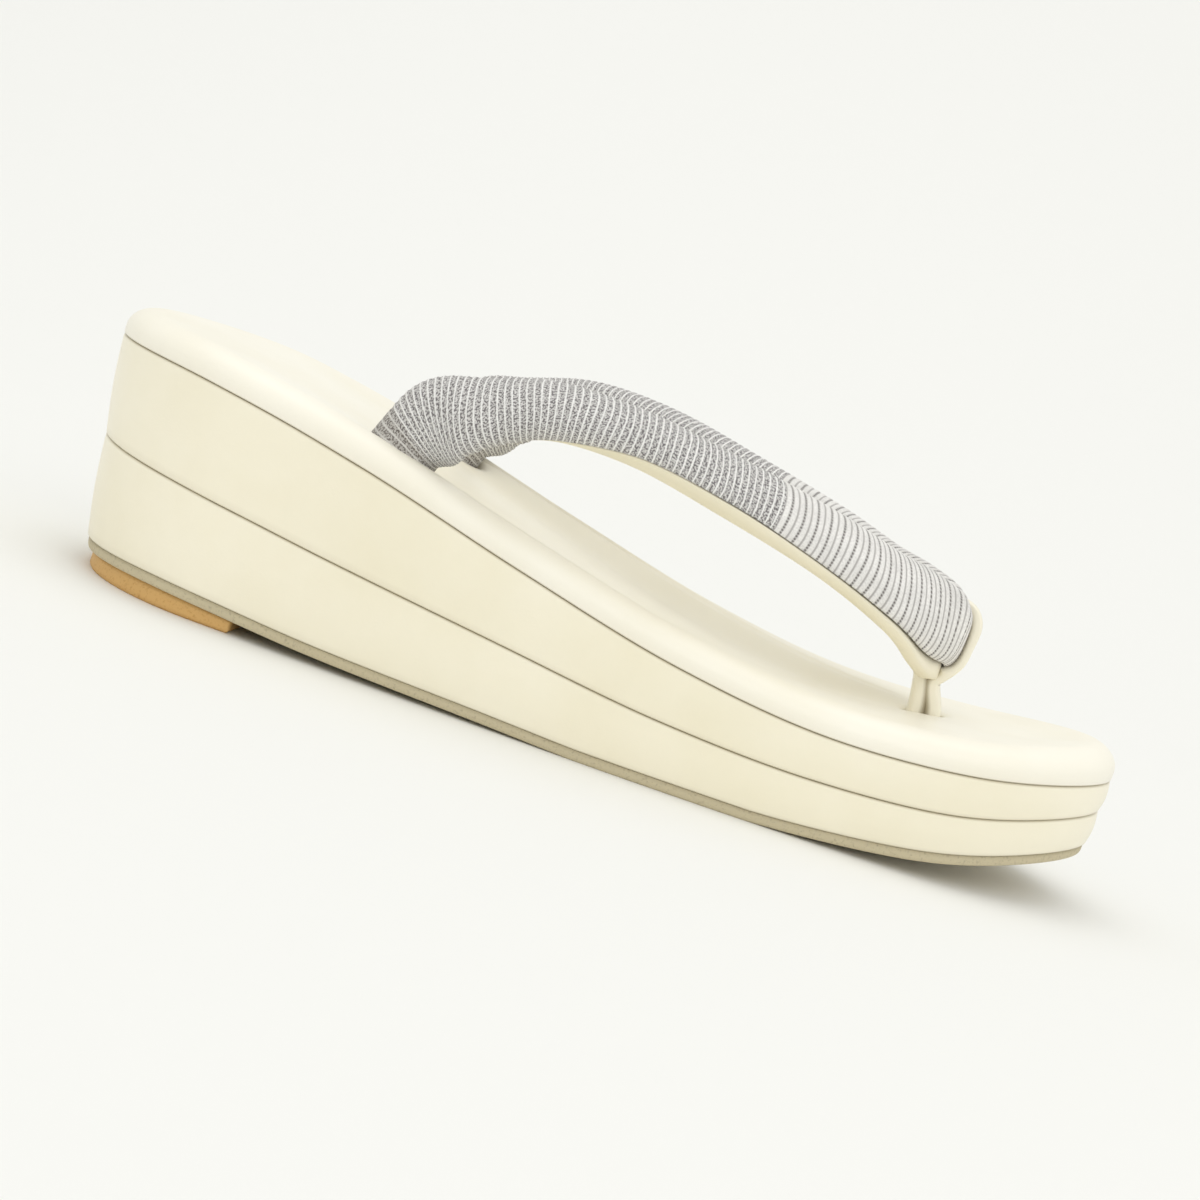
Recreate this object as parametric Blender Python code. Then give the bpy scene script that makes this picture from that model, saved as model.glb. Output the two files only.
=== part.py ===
"""A zori sandal: a two-tier wedge sole, a padded footbed and two padded straps held by a thong.

Units are metres, +Z is up. The toe points to +X and the sandal is the same on both sides of Y = 0.
The origin lies on the floor under the middle of the sole's length. Run it with
    blender --background --python part.py
"""
import math

import bmesh
import bpy
import numpy as np

# Sole: lengths and heights
LENGTH = 0.240             # heel to toe along the wedge's top edge
WIDTH = 0.0838             # across the wedge's top edge at the arch
HEEL_HEIGHT = 0.0519       # top of the wedge above the floor, at the heel
OUTSOLE_THICKNESS = 0.0024
LIFT_LENGTH = 0.050        # heel lift, from the back of the heel
LIFT_INSET = 0.0012        # heel lift's edge, in from the outsole's edge
COVER_THICKNESS = 0.0068   # footbed's rim above the wedge
COVER_ROLL = 0.0062        # how far in the footbed's rolled edge reaches
COVER_WALL = 0.0018        # upright part of the footbed's edge, below the roll
HEEL_ROUND = 0.0415        # length over which the outline closes at the heel
TOE_ROUND = 0.0400         # length over which it closes at the toe
HEEL_POWER = 2.05          # roundness of the closed ends: 2 is an ellipse
TOE_POWER = 2.15
HEEL_LEAN = 0.127          # how much the wall leans in per unit of depth
SIDE_LEAN = 0.063
TOE_LEAN = 0.030
TOP_EDGE = 0.0011          # rounding of a tier's upper edge
BOTTOM_EDGE = 0.0005       # rounding of a tier's lower edge
WALL_BULGE = 0.0004        # how far a tier's wall swells between its edges
SEAM_GAP = 0.0004          # open groove between two tiers
FIT_GAP = 0.0003           # clearance between pieces that touch

# Footbed's hollow under the arch and the ball
HOLLOW_DEPTH = 0.0042
HOLLOW_WALL = 0.0165       # width of the slope that leads down into it

# Straps and thong
ANCHOR_X = 0.0728          # middle of a strap's hole, from the back of the heel
THONG_X = 0.1958           # middle of the straps' meeting point, from the back of the heel
STRAP_SPREAD = 0.0340      # strap's middle line to the sandal's, where they are widest apart
STRAP_RISE = 0.0300        # strap's middle line above the footbed's rim, at its highest
STRAP_WIDTH = 0.0210
STRAP_THICKNESS = 0.0112
PINCH_REACH = 0.0180       # from the middle, where the straps begin to turn into the thong's loop
LINING_THICKNESS = 0.0010
LINING_DROP = 0.0030       # how far the lining hangs below the padding near the thong
THONG_WIDTH = 0.0080
THONG_THICKNESS = 0.0014   # of the loop round the straps
LEG_THICKNESS = 0.0030
HOLE_CLEARANCE = 0.0005    # round a strap or a leg where it passes through the footbed

# How finely the curves are cut
OUTLINE_STEPS = 36         # along one side of the sole
EDGE_STEPS = 3             # round a small edge
ROLL_STEPS = 5             # round the footbed's rolled edge
TOP_RINGS = (0.90, 0.79, 0.67, 0.54, 0.40, 0.25, 0.11)    # over the footbed's top, as shares of its rim
TOP_MIDDLE = (0.12, 0.78)  # where those rings shrink to: a start and a slope along the length
SECTION_STEPS = (10, 8)    # round the strap's fabric and round its lining
STRAP_STEPS = 3            # between two rows of the strap's table
THONG_STEPS = 3            # between two rows of the thong's table
HOLE_STEPS = 24            # round the hole for a strap

# Outline: place along the length, half width as a share of WIDTH / 2
PLAN = np.array([
    # along  half_width
    (0.00, 0.932),
    (0.20, 0.979),
    (0.40, 1.000),
    (0.60, 0.980),
    (0.80, 0.881),
    (1.00, 0.715),
])

# Side view: place along the length, heights as shares of HEEL_HEIGHT
SIDE = np.array([
    # along  wedge_top  tier_seam  outsole_top
    (0.00, 1.000, 0.571, 0.122),
    (0.12, 0.971, 0.528, 0.129),
    (0.28, 0.846, 0.438, 0.083),
    (0.44, 0.666, 0.355, 0.062),
    (0.60, 0.505, 0.273, 0.041),
    (0.74, 0.436, 0.250, 0.057),
    (0.87, 0.469, 0.296, 0.129),
    (1.00, 0.568, 0.432, 0.282),
])

# Hollow: place along the length, depth as a share of HOLLOW_DEPTH, half width of its rim as a share of WIDTH / 2
HOLLOW = np.array([
    # along  depth  half_width
    (0.00, 0.00, 0.80),
    (0.10, 0.00, 0.84),
    (0.24, 0.26, 0.87),
    (0.36, 0.80, 0.90),
    (0.48, 1.00, 0.91),
    (0.58, 1.00, 0.83),
    (0.67, 0.92, 0.68),
    (0.74, 0.68, 0.54),
    (0.80, 0.26, 0.36),
    (0.84, 0.00, 0.10),
    (1.00, 0.00, 0.00),
])

# One strap, from its hole to the meeting point. run is a share of THONG_X - ANCHOR_X, spread of STRAP_SPREAD and
# rise of STRAP_RISE; the first row lies on the surface of the footbed. The width axis points to the edge that lies
# outside and below. wide and thick are shares of STRAP_WIDTH / 2 and STRAP_THICKNESS / 2, seam is where fabric and
# lining meet in degrees from the width axis, and drop is a share of LINING_DROP. square is 1 for an oval section and
# less for one with fuller corners.
ROOT_DIRECTION = np.array([0.38, 0.05, 0.92])    # in which a strap leaves its hole
STRAP = np.array([
    # run    spread  rise   axis_x axis_y axis_z  wide  thick  seam  drop  square
    (0.000, 0.920, 0.000, 0.90, 0.00, -0.42, 0.74, 0.86, -58.0, 0.00, 1.00),
    (0.047, 0.960, 0.370, 0.84, 0.26, -0.44, 0.87, 0.98, -58.0, 0.00, 1.00),
    (0.125, 1.000, 0.560, 0.52, 0.72, -0.36, 0.91, 1.01, -58.0, 0.00, 1.00),
    (0.221, 1.000, 0.776, 0.20, 0.95, -0.24, 0.98, 1.02, -50.0, 0.00, 1.00),
    (0.384, 0.888, 0.940, 0.00, 1.00, -0.10, 1.00, 1.03, -20.0, 0.00, 1.00),
    (0.563, 0.700, 1.002, 0.00, 0.97, -0.24, 1.00, 1.04, 2.0, 0.05, 1.00),
    (0.750, 0.535, 0.955, 0.00, 0.89, -0.45, 0.97, 0.99, 8.0, 0.10, 1.00),
    (0.880, 0.391, 0.812, 0.00, 0.79, -0.61, 0.93, 0.94, 14.0, 0.35, 0.94),
    (0.945, 0.282, 0.716, 0.00, 0.50, -0.87, 0.88, 0.86, 20.0, 0.85, 0.84),
    (0.978, 0.210, 0.668, -0.02, 0.15, -0.99, 0.80, 0.85, 24.0, 1.00, 0.76),
    (0.992, 0.152, 0.625, -0.06, 0.00, -1.00, 0.70, 0.84, 24.0, 0.50, 0.72),
    (1.000, 0.000, 0.550, -0.08, 0.00, -1.00, 0.64, 0.81, 22.0, 0.00, 0.72),
])
FABRIC_END = 215.0         # the fabric's other edge, on the strap's inner side, in degrees from the width axis

# Thong's band from the rear leg, behind, over and in front of the straps, to the front leg. ahead and above are
# measured from the meeting point, as shares of the strap's half width; wide is a share of THONG_WIDTH.
BAND = np.array([
    # ahead  above  wide  leg
    (-0.18, -2.50, 0.88, 1.00),
    (-0.20, -1.95, 0.88, 1.00),
    (-0.37, -1.47, 0.84, 0.85),
    (-0.66, -1.06, 0.62, 0.00),
    (-0.91, -0.40, 0.46, 0.00),
    (-0.93, 0.34, 0.42, 0.00),
    (-0.71, 1.08, 0.42, 0.00),
    (0.00, 1.38, 0.52, 0.00),
    (0.60, 1.22, 0.76, 0.00),
    (0.89, 0.74, 1.00, 0.00),
    (0.86, 0.00, 1.00, 0.00),
    (0.76, -0.62, 1.00, 0.00),
    (0.42, -1.16, 0.96, 0.00),
    (0.11, -1.47, 0.88, 0.85),
    (0.42, -1.95, 0.88, 1.00),
    (0.45, -2.50, 0.88, 1.00),
])

# Colours of the finished surfaces, linear
CREAM = (0.84, 0.79, 0.62)
CREAM_LINING = (0.80, 0.74, 0.56)
WOVEN_GREY = (0.42, 0.41, 0.42)
RUBBER_GREY = (0.50, 0.46, 0.37)
RUBBER_AMBER = (0.62, 0.36, 0.11)


def curve(table, column, places):
    """Read one column of a table as a smooth curve: cubic pieces whose slopes come from the rows beside them."""
    stations = table[:, 0]
    values = table[:, column]
    slopes = np.gradient(values, stations)
    places = np.clip(places, stations[0], stations[-1])
    piece = np.clip(np.searchsorted(stations, places, side="right") - 1, 0, len(stations) - 2)
    step = stations[piece + 1] - stations[piece]
    share = (places - stations[piece]) / step
    rest = 1.0 - share
    ends = values[piece] * rest**2 * (1 + 2 * share) + values[piece + 1] * share**2 * (1 + 2 * rest)
    return ends + step * share * rest * (slopes[piece] * rest - slopes[piece + 1] * share)


def height(column, x):
    """Height above the floor of one of the side view's curves at x, which counts from the back of the heel."""
    return HEEL_HEIGHT * curve(SIDE, column, x / LENGTH)


def wedge_top(x):
    return height(1, x)


def tier_seam(x):
    return height(2, x)


def outsole_top(x):
    """The outsole lies flat on the floor under the ball of the foot."""
    return np.maximum(height(3, x), OUTSOLE_THICKNESS)


def cover_top(x):
    return wedge_top(x) + COVER_THICKNESS


def outline():
    """The sole's outline as a ring from the heel along -Y to the toe and back along +Y, with outward normals."""
    turn = np.linspace(0.0, math.pi, OUTLINE_STEPS + 1)
    x = LENGTH * (1.0 - np.cos(turn)) / 2.0
    half = WIDTH / 2.0 * curve(PLAN, 1, x / LENGTH)
    heel = 1.0 - np.clip(1.0 - x / HEEL_ROUND, 0.0, 1.0) ** HEEL_POWER
    toe = 1.0 - np.clip(1.0 - (LENGTH - x) / TOE_ROUND, 0.0, 1.0) ** TOE_POWER
    half = half * heel ** (1.0 / HEEL_POWER) * toe ** (1.0 / TOE_POWER)
    ring = np.column_stack([
        np.concatenate([x, x[-2:0:-1]]),
        np.concatenate([-half, half[-2:0:-1]]),
    ])
    along = np.roll(ring, -1, axis=0) - np.roll(ring, 1, axis=0)
    normal = np.column_stack([along[:, 1], -along[:, 0]])
    return ring, normal / np.linalg.norm(normal, axis=1)[:, None]


def wall_ring(level, inset):
    """The outline at a level above the floor, leaning in below the wedge's top and moved in by inset."""
    ring, normal = outline()
    depth = wedge_top(ring[:, 0]) - level
    backward = np.clip(-normal[:, 0], 0.0, 1.0) ** 2
    forward = np.clip(normal[:, 0], 0.0, 1.0) ** 2
    lean = HEEL_LEAN * backward + TOE_LEAN * forward + SIDE_LEAN * (1.0 - backward - forward)
    moved = ring - normal * (inset + lean * np.maximum(depth, 0.0))[:, None]
    return np.column_stack([moved, level])


def rounded(radius, steps):
    """Pairs (inset, rise) round a quarter edge, from its inner end to its full width."""
    angles = np.linspace(0.0, math.pi / 2, steps + 1)
    return [(radius * (1.0 - math.sin(a)), radius * (1.0 - math.cos(a))) for a in angles]


def tier_rings(low, high):
    """Rings up the wall of a layer between two levels, with rounded edges and a slightly swollen wall."""
    rings = []
    for inset, rise in rounded(BOTTOM_EDGE, EDGE_STEPS):
        rings.append(wall_ring(low + rise, np.full_like(low, inset)))
    rings.append(wall_ring((low + high) / 2.0, np.full_like(low, -WALL_BULGE)))
    for inset, rise in reversed(rounded(TOP_EDGE, EDGE_STEPS)):
        rings.append(wall_ring(high - rise, np.full_like(low, inset)))
    return rings


def centred(points):
    """Move points that count from the back of the heel to the frame's origin."""
    return np.asarray(points) - np.array([LENGTH / 2.0, 0.0, 0.0])


def build(name, points, faces, colour, roughness):
    """Make one object of a closed mesh, with its own material."""
    mesh = bpy.data.meshes.new(name)
    mesh.from_pydata(centred(points).tolist(), [], faces)
    shape = bmesh.new()
    shape.from_mesh(mesh)
    bmesh.ops.recalc_face_normals(shape, faces=shape.faces)
    shape.to_mesh(mesh)
    shape.free()
    mesh.shade_smooth()
    mesh.set_sharp_from_angle(angle=math.radians(40))
    material = bpy.data.materials.new(name)
    material.use_nodes = True
    finish = material.node_tree.nodes["Principled BSDF"]
    finish.inputs["Base Color"].default_value = (*colour, 1.0)
    finish.inputs["Roughness"].default_value = roughness
    finish.inputs["Metallic"].default_value = 0.0
    mesh.materials.append(material)
    piece = bpy.data.objects.new(name, mesh)
    bpy.context.collection.objects.link(piece)
    return piece


def strip_faces(rows, count):
    """Quads between neighbouring rings of count points each."""
    faces = []
    for row in range(rows - 1):
        for i in range(count):
            j = (i + 1) % count
            faces.append((row * count + i, row * count + j, (row + 1) * count + j, (row + 1) * count + i))
    return faces


def rung_faces(start, count):
    """Close a symmetric ring with rungs from one side to the other, which stay flat across the sole."""
    faces = [(start, start + 1, start + count - 1)]
    near = 1
    while near + 1 < count - near - 1:
        faces.append((start + near, start + near + 1, start + count - near - 1, start + count - near))
        near += 1
    if near + 1 == count - near - 1:
        faces.append((start + near, start + near + 1, start + near + 2))
    return faces


def stack(name, rings, colour, roughness):
    """A layer of the sole: rings up its wall, closed with rungs below and above."""
    count = len(rings[0])
    faces = strip_faces(len(rings), count)
    faces += rung_faces(0, count)
    faces += rung_faces((len(rings) - 1) * count, count)
    return build(name, np.concatenate(rings), faces, colour, roughness)


def make_outsole():
    """Thin rubber sheet that follows the wedge and turns up at the toe."""
    x = outline()[0][:, 0]
    high = outsole_top(x)
    low = high - OUTSOLE_THICKNESS
    edge = np.full_like(x, BOTTOM_EDGE)
    rings = [
        wall_ring(low, 2.0 * edge),
        wall_ring(low + BOTTOM_EDGE, edge),
        wall_ring(high - SEAM_GAP, edge),
    ]
    return stack("outsole", rings, RUBBER_GREY, 0.75)


def make_heel_lift():
    """Rubber lift under the heel, level underneath, with a straight front edge."""
    ring, _ = outline()
    low = outsole_top(ring[:, 0]) - OUTSOLE_THICKNESS
    edge = wall_ring(low, np.full_like(low, 2.0 * BOTTOM_EDGE + LIFT_INSET))
    side = edge[: OUTLINE_STEPS + 1]
    side = side[side[:, 0] < LIFT_LENGTH]
    front_y = np.interp(LIFT_LENGTH, edge[: OUTLINE_STEPS, 0], edge[: OUTLINE_STEPS, 1])
    front = (LIFT_LENGTH, front_y, outsole_top(np.array([LIFT_LENGTH]))[0] - OUTSOLE_THICKNESS)
    near = np.vstack([side, front])
    far = near[:0:-1] * np.array([1.0, -1.0, 1.0])
    top = np.vstack([near, far]) - np.array([0.0, 0.0, FIT_GAP])
    foot = top * np.array([1.0, 1.0, 0.0])
    chamfer = foot + np.array([0.0, 0.0, BOTTOM_EDGE])
    middle = np.array([LIFT_LENGTH / 2.0, 0.0, 0.0])
    foot = middle + (foot - middle) * (1.0 - BOTTOM_EDGE / LIFT_LENGTH)
    return stack("heel_lift", [foot, chamfer, top], RUBBER_AMBER, 0.6)


def make_lower_tier():
    x = outline()[0][:, 0]
    rings = tier_rings(outsole_top(x), tier_seam(x) - SEAM_GAP)
    return stack("lower_tier", rings, CREAM, 0.3)


def make_upper_tier():
    x = outline()[0][:, 0]
    rings = tier_rings(tier_seam(x), wedge_top(x) - SEAM_GAP)
    return stack("upper_tier", rings, CREAM, 0.3)


def hollow_depth(x, y):
    """How far the footbed dips below its rim at a place: full depth inside, nothing outside the hollow's rim."""
    depth = HOLLOW_DEPTH * curve(HOLLOW, 1, x / LENGTH)
    rim = WIDTH / 2.0 * curve(HOLLOW, 2, x / LENGTH)
    share = np.clip((rim - np.abs(y)) / HOLLOW_WALL, 0.0, 1.0)
    return np.maximum(depth, 0.0) * share * share * (3.0 - 2.0 * share)


def make_footbed():
    """Padded cover with a rolled edge and a hollow, open where the straps and the thong pass through."""
    ring, _ = outline()
    x = ring[:, 0]
    low = wedge_top(x)
    rings = []
    for inset, rise in rounded(BOTTOM_EDGE, EDGE_STEPS - 1):
        rings.append(wall_ring(low + rise, np.full_like(x, inset)))
    roll = COVER_THICKNESS - COVER_WALL
    for step in range(ROLL_STEPS + 1):
        angle = math.pi / 2 * step / ROLL_STEPS
        level = low + COVER_WALL + roll * math.sin(angle)
        rings.append(wall_ring(level, np.full_like(x, COVER_ROLL * (1.0 - math.cos(angle)))))
    rim = rings[-1]
    middle = np.column_stack([LENGTH * TOP_MIDDLE[0] + x * TOP_MIDDLE[1], np.zeros_like(x)])
    for share in TOP_RINGS:
        flat = middle + (rim[:, :2] - middle) * share
        level = cover_top(flat[:, 0]) - hollow_depth(flat[:, 0], flat[:, 1])
        rings.append(np.column_stack([flat, level]))
    count = len(x)
    last = (len(rings) - 1) * count
    faces = strip_faces(len(rings), count) + rung_faces(0, count) + rung_faces(last, count)
    cover = build("footbed", np.concatenate(rings), faces, CREAM, 0.35)
    cutters = [make_strap_cutter("strap_hole_near", -1.0), make_strap_cutter("strap_hole_far", 1.0)]
    cutters.append(make_leg_cutter())
    for cutter in cutters:
        cut = cover.modifiers.new(cutter.name, "BOOLEAN")
        cut.operation = "DIFFERENCE"
        cut.solver = "EXACT"
        cut.object = cutter
    return cover


def make_cutter(name, low, high):
    """A prism through the footbed between two rings, which the build leaves out."""
    count = len(low)
    faces = strip_faces(2, count)
    faces.append(tuple(range(count)))
    faces.append(tuple(range(count, 2 * count)))
    cutter = build(name, np.vstack([low, high]), faces, CREAM, 0.5)
    cutter.hide_render = True
    cutter.display_type = "WIRE"
    return cutter


def make_strap_cutter(name, side):
    """The hole for one strap: a prism along the strap's root, opened by the clearance."""
    surface, along, wide, face = strap_root()
    flat = section(
        STRAP_WIDTH / 2.0 * STRAP[0, 6] + HOLE_CLEARANCE,
        STRAP_THICKNESS / 2.0 * STRAP[0, 7] + HOLE_CLEARANCE,
        STRAP[0, 10], np.linspace(0.0, 360.0, HOLE_STEPS, endpoint=False), 0.0, 0.0,
    )
    ring = surface + flat[:, :1] * wide + flat[:, 1:] * face
    reach = along * 2.0 * COVER_THICKNESS
    flip = np.array([1.0, side, 1.0])
    return make_cutter(name, (ring - reach) * flip, (ring + reach) * flip)


def make_leg_cutter():
    """One slot for both of the thong's legs."""
    half_strap = STRAP_WIDTH / 2.0 * STRAP[-1, 6]
    reach = LEG_THICKNESS / 2.0 + HOLE_CLEARANCE
    back = THONG_X + half_strap * BAND[1, 0] - reach
    front = THONG_X + half_strap * BAND[-1, 0] + reach
    half = THONG_WIDTH / 2.0 * BAND[0, 2] + HOLE_CLEARANCE
    level = wedge_top(np.array([THONG_X]))[0]
    low = np.array([(x, y, level - COVER_THICKNESS) for x, y in (
        (back, -half), (front, -half), (front, half), (back, half),
    )])
    return make_cutter("leg_slot", low, low + np.array([0.0, 0.0, 3.0 * COVER_THICKNESS]))


def smooth_rows(table, steps):
    """Extra rows between a table's rows, on a Catmull-Rom curve through all its columns."""
    slopes = np.gradient(table, axis=0)
    rows = []
    for first in range(len(table) - 1):
        for step in range(steps):
            share = step / steps
            rest = 1.0 - share
            ends = table[first] * rest**2 * (1 + 2 * share) + table[first + 1] * share**2 * (1 + 2 * rest)
            rows.append(ends + share * rest * (slopes[first] * rest - slopes[first + 1] * share))
    rows.append(table[-1])
    return np.array(rows)


def strap_root():
    """Where the strap on +Y meets the footbed's surface, with its direction, width axis and face's normal there."""
    surface = np.array([ANCHOR_X, STRAP_SPREAD * STRAP[0, 1], cover_top(np.array([ANCHOR_X]))[0]])
    along = ROOT_DIRECTION / np.linalg.norm(ROOT_DIRECTION)
    wide = STRAP[0, 3:6] - along * (STRAP[0, 3:6] @ along)
    wide /= np.linalg.norm(wide)
    return surface, along, wide, np.cross(along, wide)


def strap_frames():
    """Middle line of the strap on +Y, with its width axis, its face's normal and its section's sizes."""
    x = ANCHOR_X + (THONG_X - ANCHOR_X) * STRAP[:, 0]
    table = np.column_stack([
        x,
        STRAP_SPREAD * STRAP[:, 1],
        cover_top(x) + STRAP_RISE * STRAP[:, 2],
        STRAP[:, 3:],
    ])
    surface, root_along, root_wide, _ = strap_root()
    clear = STRAP_WIDTH / 2.0 * STRAP[0, 6] * abs(root_wide[2]) / root_along[2]
    table[0, :3] = surface + root_along * clear
    rows = smooth_rows(table, STRAP_STEPS)
    centre = rows[:, :3]
    along = np.gradient(centre, axis=0)
    along /= np.linalg.norm(along, axis=1)[:, None]
    turn = np.clip(centre[:, 1:2] / PINCH_REACH, 0.0, 1.0)
    along = along * turn + np.array([0.0, -1.0, 0.0]) * (1.0 - turn)
    along[0] = root_along
    along /= np.linalg.norm(along, axis=1)[:, None]
    wide = rows[:, 3:6] - along * (rows[:, 3:6] * along).sum(axis=1)[:, None]
    wide /= np.linalg.norm(wide, axis=1)[:, None]
    face = np.cross(along, wide)
    half_width = STRAP_WIDTH / 2.0 * rows[:, 6]
    half_thickness = STRAP_THICKNESS / 2.0 * rows[:, 7]
    sizes = np.column_stack([half_width, half_thickness, rows[:, 10], rows[:, 8], LINING_DROP * rows[:, 9]])
    return centre, wide, face, sizes


def root_ring(ring, along):
    """Carry the strap's first ring down its direction until it ends just above the wedge."""
    depth = ring[:, 2] - wedge_top(ring[:, 0]) - FIT_GAP
    for _ in range(3):
        moved = ring - along * (depth / along[2])[:, None]
        depth = ring[:, 2] - wedge_top(moved[:, 0]) - FIT_GAP
    return moved


def section(half_width, half_thickness, square, degrees, inset, drop):
    """Points of the strap's section at some angles, moved in by inset, in its width and face axes."""
    angle = np.radians(degrees)
    half = np.array([half_width, half_thickness])
    circle = np.column_stack([np.cos(angle), np.sin(angle)])
    oval = half * np.sign(circle) * np.abs(circle) ** square
    normal = np.sign(circle) * np.abs(circle) ** (2.0 - square) / half
    normal /= np.linalg.norm(normal, axis=1)[:, None]
    hang = drop * np.clip(circle[:, 0], 0.0, 1.0) ** 2
    return oval - normal * inset + np.column_stack([hang, np.zeros_like(hang)])


def sweep_strap(name, ring_at, colour, roughness):
    """Sweep a section along the strap on +Y and mirror it, so that both halves join at the meeting point."""
    centre, wide, face, sizes = strap_frames()
    rings = []
    for i in range(len(centre)):
        flat = ring_at(*sizes[i])
        rings.append(centre[i] + flat[:, :1] * wide[i] + flat[:, 1:] * face[i])
    rings[-1][:, 1] = 0.0
    rings.insert(0, root_ring(rings[0], strap_root()[1]))
    mirrored = [ring * np.array([1.0, -1.0, 1.0]) for ring in rings[-2::-1]]
    count = len(rings[0])
    total = len(rings) + len(mirrored)
    faces = strip_faces(total, count)
    faces.append(tuple(range(count)))
    faces.append(tuple(range((total - 1) * count, total * count)))
    return build(name, np.concatenate(rings + mirrored), faces, colour, roughness)


def make_straps():
    """Padding and fabric of both straps, set back where the lining covers them."""
    recess = LINING_THICKNESS + FIT_GAP

    def ring_at(half_width, half_thickness, square, seam, drop):
        fabric = np.linspace(seam, FABRIC_END, SECTION_STEPS[0] + 1)
        under = np.linspace(FABRIC_END, seam + 360.0, SECTION_STEPS[1] + 1)
        return np.vstack([
            section(half_width, half_thickness, square, fabric, 0.0, 0.0),
            section(half_width, half_thickness, square, under, recess, 0.0),
        ])

    return sweep_strap("straps", ring_at, WOVEN_GREY, 0.85)


def make_strap_lining():
    """Band round the straps' underside, flush with the fabric and a little apart from it."""

    def ring_at(half_width, half_thickness, square, seam, drop):
        margin = math.degrees(FIT_GAP / half_thickness)
        under = np.linspace(FABRIC_END + margin, seam + 360.0 - margin, SECTION_STEPS[1] + 1)
        return np.vstack([
            section(half_width, half_thickness, square, under, 0.0, drop),
            section(half_width, half_thickness, square, under[::-1], LINING_THICKNESS, 0.0),
        ])

    return sweep_strap("strap_lining", ring_at, CREAM_LINING, 0.5)


def make_thong():
    """Band folded over the straps' meeting point, whose two ends go down into the footbed as legs."""
    half_strap = STRAP_WIDTH / 2.0 * STRAP[-1, 6]
    floor = wedge_top(np.array([THONG_X]))[0] + FIT_GAP
    meeting = cover_top(np.array([THONG_X]))[0] + STRAP_RISE * STRAP[-1, 2]
    rows = smooth_rows(BAND, THONG_STEPS)
    x = THONG_X + half_strap * rows[:, 0]
    z = meeting + half_strap * rows[:, 1]
    foot = z[0]
    neck = meeting + half_strap * BAND[2, 1]
    below = z < neck
    z[below] = neck + (z[below] - neck) * (neck - floor) / (neck - foot)
    along = np.column_stack([np.gradient(x), np.gradient(z)])
    along[0] = (0.0, 1.0)
    along[-1] = (0.0, -1.0)
    along /= np.linalg.norm(along, axis=1)[:, None]
    normal = np.column_stack([-along[:, 1], along[:, 0]])
    leg = np.clip(rows[:, 3], 0.0, 1.0)
    half_thickness = (THONG_THICKNESS + (LEG_THICKNESS - THONG_THICKNESS) * leg) / 2.0
    half_width = THONG_WIDTH / 2.0 * rows[:, 2]
    corner = THONG_THICKNESS / 4.0
    rings = []
    for i in range(len(x)):
        out = half_thickness[i]
        side = half_width[i]
        shape = [
            (-out, -side + corner), (-out + corner, -side), (out - corner, -side), (out, -side + corner),
            (out, side - corner), (out - corner, side), (-out + corner, side), (-out, side - corner),
        ]
        rings.append(np.array([
            (x[i] + normal[i, 0] * across, y, z[i] + normal[i, 1] * across) for across, y in shape
        ]))
    count = len(rings[0])
    faces = strip_faces(len(rings), count)
    faces.append(tuple(range(count)))
    faces.append(tuple(range((len(rings) - 1) * count, len(rings) * count)))
    return build("thong", np.concatenate(rings), faces, CREAM, 0.3)


def main():
    for leftover in list(bpy.data.objects):
        bpy.data.objects.remove(leftover, do_unlink=True)
    make_outsole()
    make_heel_lift()
    make_lower_tier()
    make_upper_tier()
    make_footbed()
    make_straps()
    make_strap_lining()
    make_thong()


main()
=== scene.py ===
# %% [markdown]
# # A zori sandal made of surfaces
#
# A zori is the flat-fronted sandal worn with a kimono. This one has a wedge of two tiers, a padded
# footbed and two padded straps that meet in a loop behind the toes. Each piece is worked out as a
# grid of points, because the whole sandal is made of layers that follow one outline: once that
# outline is a function, every tier is the same function at another height.

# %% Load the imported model
import math

import bmesh
import bpy
import numpy as np
from mathutils import Matrix, Vector


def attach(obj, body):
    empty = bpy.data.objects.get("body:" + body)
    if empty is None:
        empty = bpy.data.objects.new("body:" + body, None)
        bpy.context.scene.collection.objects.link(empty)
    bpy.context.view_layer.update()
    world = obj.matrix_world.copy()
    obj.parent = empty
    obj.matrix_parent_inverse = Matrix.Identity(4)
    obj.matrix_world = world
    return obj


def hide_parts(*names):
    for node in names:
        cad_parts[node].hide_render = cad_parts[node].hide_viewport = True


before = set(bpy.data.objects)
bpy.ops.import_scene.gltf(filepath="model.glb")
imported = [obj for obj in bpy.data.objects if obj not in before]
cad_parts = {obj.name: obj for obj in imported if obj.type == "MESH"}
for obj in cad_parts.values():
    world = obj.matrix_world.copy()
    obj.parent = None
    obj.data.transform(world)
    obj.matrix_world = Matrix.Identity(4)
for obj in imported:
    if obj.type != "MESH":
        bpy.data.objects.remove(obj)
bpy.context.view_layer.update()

# %% [markdown]
# ## Reading smooth curves from short tables
#
# A shoemaker draws a side view through a handful of heights. The same is done here: each table has
# a row per place along the sole, and a smooth curve runs through the rows, so a step in the
# numbers never shows as a kink in the leather.

# %% Curves
def curve(table, column, places):
    """A smooth curve through one column. Between two rows it is a cubic that meets both values, with
    the slope at each row taken from its neighbours."""
    stations, values = table[:, 0], table[:, column]
    slopes = np.gradient(values, stations)
    places = np.clip(places, stations[0], stations[-1])
    piece = np.clip(np.searchsorted(stations, places, side="right") - 1, 0, len(stations) - 2)
    step = stations[piece + 1] - stations[piece]
    share = (places - stations[piece]) / step
    rest = 1.0 - share
    ends = values[piece] * rest**2 * (1 + 2 * share) + values[piece + 1] * share**2 * (1 + 2 * rest)
    return ends + step * share * rest * (slopes[piece] * rest - slopes[piece + 1] * share)


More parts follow.
